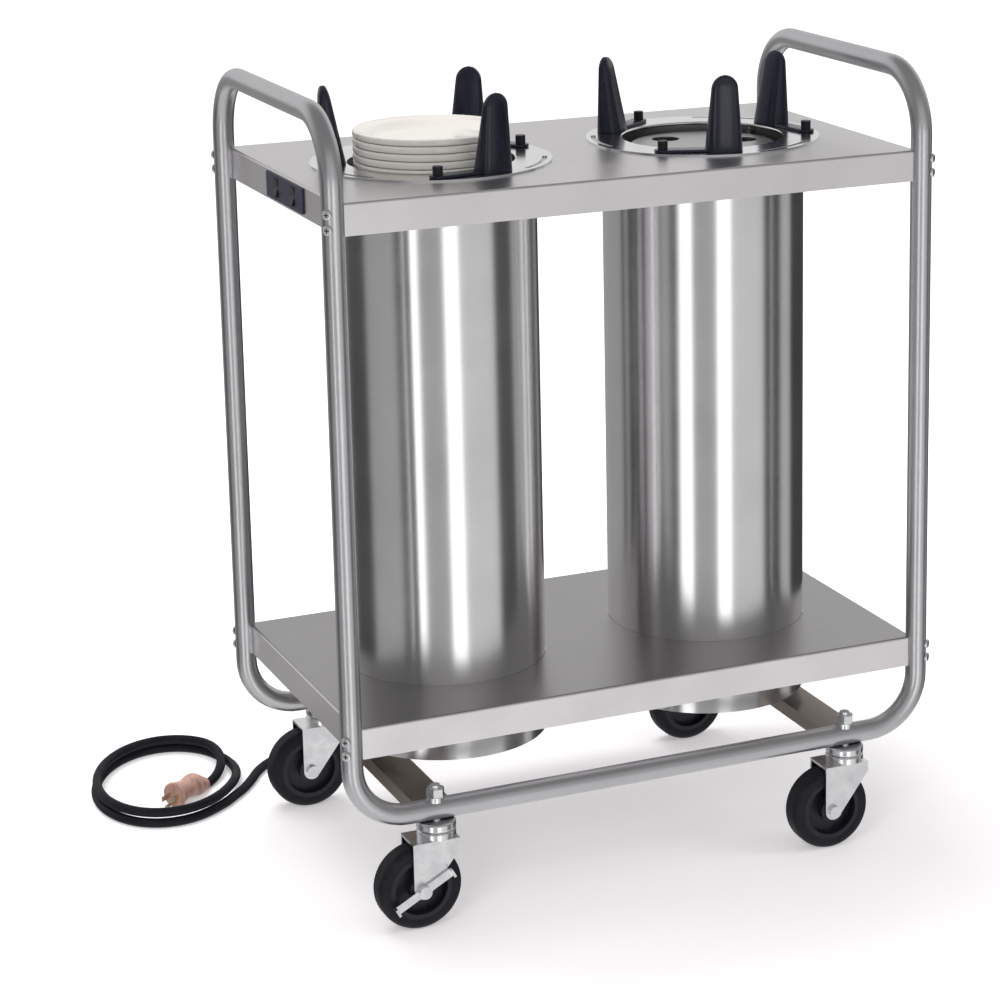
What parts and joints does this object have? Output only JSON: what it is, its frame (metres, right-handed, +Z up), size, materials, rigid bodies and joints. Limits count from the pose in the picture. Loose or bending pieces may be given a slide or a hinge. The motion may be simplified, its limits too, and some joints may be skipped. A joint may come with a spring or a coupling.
{
  "type": "heated plate dispenser",
  "caption": "Mobile open-frame heated plate dispenser: bent tube cart on casters with two self-levelling heated plate tubes, guide posts and a power cord.",
  "frame": {"origin": "on the floor, in the middle of the cart's footprint", "axes": "+X along the cart to its right end, +Y to its rear, +Z up"},
  "size_m": [0.9245, 0.6947, 0.9627],
  "materials": {
    "frame_tube": "polished stainless steel tube",
    "shelf_steel": "satin stainless steel sheet",
    "body_steel": "bright stainless steel skin, grain along the height",
    "flange_steel": "bright spun stainless steel",
    "inner_steel": "plain mill steel",
    "zinc_steel": "bright zinc plated steel",
    "spring_steel": "drawn spring wire",
    "insulation": "glass wool blanket",
    "heater_rod": "dark oxidised sheath",
    "tyre_rubber": "black moulded rubber",
    "wheel_core": "black moulded plastic",
    "guide_plastic": "blue-black moulded plastic",
    "knob_plastic": "black moulded plastic",
    "control_plastic": "dark grey plate",
    "rocker_plastic": "black switch plastic",
    "plate_china": "cream glazed china",
    "relief_rubber": "black moulded rubber",
    "cord_jacket": "black rubber jacket",
    "plug_plastic": "dull orange-pink moulded plug",
    "blade_metal": "nickel plated brass"
  },
  "bodies": {
    "frame": {"front_frame_tube": "frame_tube", "rear_frame_tube": "frame_tube", "left_handle_tube": "frame_tube", "right_handle_tube": "frame_tube", "left_cross_channel": "shelf_steel", "right_cross_channel": "shelf_steel", "top_shelf": "shelf_steel", "bottom_shelf": "shelf_steel", "shelf_corner_blocks": "inner_steel", "leg_screws": "zinc_steel", "caster_stems": "zinc_steel", "caster_nuts": "zinc_steel", "insulation_sleeves": "insulation", "base_pans": "inner_steel", "ring_heaters": "heater_rod", "guide_knobs": "knob_plastic", "control_plate": "control_plastic", "junction_box": "shelf_steel", "strain_relief": "relief_rubber", "cord_run": "cord_jacket", "cord_coil": "cord_jacket", "plug_body": "plug_plastic", "plug_blades": "blade_metal", "left_dispenser_body": "body_steel", "left_liner": "inner_steel", "left_flange_ring": "flange_steel", "left_carrier_springs": "spring_steel", "right_dispenser_body": "body_steel", "right_liner": "inner_steel", "right_flange_ring": "flange_steel", "right_carrier_springs": "spring_steel"},
    "front_left_swivel": {"front_left_fork": "zinc_steel", "front_left_axle": "zinc_steel"},
    "front_left_wheel": {"front_left_tyre": "tyre_rubber", "front_left_wheel_core": "wheel_core"},
    "front_right_swivel": {"front_right_fork": "zinc_steel", "front_right_axle": "zinc_steel"},
    "front_right_wheel": {"front_right_tyre": "tyre_rubber", "front_right_wheel_core": "wheel_core"},
    "rear_left_swivel": {"rear_left_fork": "zinc_steel", "rear_left_axle": "zinc_steel"},
    "rear_left_wheel": {"rear_left_tyre": "tyre_rubber", "rear_left_wheel_core": "wheel_core"},
    "rear_right_swivel": {"rear_right_fork": "zinc_steel", "rear_right_axle": "zinc_steel"},
    "rear_right_wheel": {"rear_right_tyre": "tyre_rubber", "rear_right_wheel_core": "wheel_core"},
    "front_left_brake": {"front_left_brake_lever": "zinc_steel"},
    "rear_left_brake": {"rear_left_brake_lever": "zinc_steel"},
    "left_carrier": {"left_plate_carrier": "inner_steel", "plate_stack": "plate_china"},
    "right_carrier": {"right_plate_carrier": "inner_steel"},
    "left_guide_1": {"left_guide_post_1": "guide_plastic"},
    "left_guide_2": {"left_guide_post_2": "guide_plastic"},
    "left_guide_3": {"left_guide_post_3": "guide_plastic"},
    "right_guide_1": {"right_guide_post_1": "guide_plastic"},
    "right_guide_2": {"right_guide_post_2": "guide_plastic"},
    "right_guide_3": {"right_guide_post_3": "guide_plastic"},
    "front_rocker": {"front_rocker_switch": "rocker_plastic"},
    "rear_rocker": {"rear_rocker_switch": "rocker_plastic"}
  },
  "joints": [
    {"name": "front_left_swivel_turn", "type": "hinge", "parent": "frame", "child": "front_left_swivel", "pos_m": [-0.267, -0.203, 0.11], "axis": [0, 0, 1], "continuous": true},
    {"name": "front_left_wheel_spin", "type": "hinge", "parent": "front_left_swivel", "child": "front_left_wheel", "pos_m": [-0.292, -0.203, 0.0508], "axis": [0, 1, 0], "continuous": true},
    {"name": "front_right_swivel_turn", "type": "hinge", "parent": "frame", "child": "front_right_swivel", "pos_m": [0.267, -0.203, 0.11], "axis": [0, 0, 1], "continuous": true},
    {"name": "front_right_wheel_spin", "type": "hinge", "parent": "front_right_swivel", "child": "front_right_wheel", "pos_m": [0.242, -0.203, 0.0508], "axis": [0, 1, 0], "continuous": true},
    {"name": "rear_left_swivel_turn", "type": "hinge", "parent": "frame", "child": "rear_left_swivel", "pos_m": [-0.267, 0.203, 0.11], "axis": [0, 0, 1], "continuous": true},
    {"name": "rear_left_wheel_spin", "type": "hinge", "parent": "rear_left_swivel", "child": "rear_left_wheel", "pos_m": [-0.292, 0.203, 0.0508], "axis": [0, 1, 0], "continuous": true},
    {"name": "rear_right_swivel_turn", "type": "hinge", "parent": "frame", "child": "rear_right_swivel", "pos_m": [0.267, 0.203, 0.11], "axis": [0, 0, 1], "continuous": true},
    {"name": "rear_right_wheel_spin", "type": "hinge", "parent": "rear_right_swivel", "child": "rear_right_wheel", "pos_m": [0.242, 0.203, 0.0508], "axis": [0, 1, 0], "continuous": true},
    {"name": "front_left_brake_turn", "type": "hinge", "parent": "front_left_swivel", "child": "front_left_brake", "pos_m": [-0.292, -0.203, 0.0508], "axis": [0, 1, 0], "range_deg": [-25, 0]},
    {"name": "rear_left_brake_turn", "type": "hinge", "parent": "rear_left_swivel", "child": "rear_left_brake", "pos_m": [-0.292, 0.203, 0.0508], "axis": [0, 1, 0], "range_deg": [-25, 0]},
    {"name": "left_carrier_slide", "type": "slide", "parent": "frame", "child": "left_carrier", "axis": [0, 0, 1], "range_m": [-0.354, 0.046], "stiffness_N_per_m": 240, "springref_m": 0.1455, "deforming": ["left_carrier_springs"]},
    {"name": "right_carrier_slide", "type": "slide", "parent": "frame", "child": "right_carrier", "axis": [0, 0, 1], "range_m": [-0.4, 0], "stiffness_N_per_m": 240, "springref_m": 0.0995, "deforming": ["right_carrier_springs"]},
    {"name": "left_guide_1_swing", "type": "hinge", "parent": "frame", "child": "left_guide_1", "pos_m": [-0.05127, 0.02875, 0.8618], "axis": [0, 0, 1], "range_deg": [-6, 5]},
    {"name": "left_guide_2_swing", "type": "hinge", "parent": "frame", "child": "left_guide_2", "pos_m": [-0.26326, 0.09364, 0.8618], "axis": [0, 0, 1], "range_deg": [-6, 5]},
    {"name": "left_guide_3_swing", "type": "hinge", "parent": "frame", "child": "left_guide_3", "pos_m": [-0.21346, -0.12239, 0.8618], "axis": [0, 0, 1], "range_deg": [-6, 5]},
    {"name": "right_guide_1_swing", "type": "hinge", "parent": "frame", "child": "right_guide_1", "pos_m": [0.29839, -0.03746, 0.8618], "axis": [0, 0, 1], "range_deg": [-6, 12]},
    {"name": "right_guide_2_swing", "type": "hinge", "parent": "frame", "child": "right_guide_2", "pos_m": [0.14725, 0.12473, 0.8618], "axis": [0, 0, 1], "range_deg": [-6, 12]},
    {"name": "right_guide_3_swing", "type": "hinge", "parent": "frame", "child": "right_guide_3", "pos_m": [0.08236, -0.08726, 0.8618], "axis": [0, 0, 1], "range_deg": [-6, 12]},
    {"name": "front_rocker_tilt", "type": "hinge", "parent": "frame", "child": "front_rocker", "pos_m": [-0.358, -0.048, 0.8395], "axis": [0, 1, 0], "range_deg": [-14, 0]},
    {"name": "rear_rocker_tilt", "type": "hinge", "parent": "frame", "child": "rear_rocker", "pos_m": [-0.358, 0.012, 0.8395], "axis": [0, 1, 0], "range_deg": [-14, 0]}
  ]
}
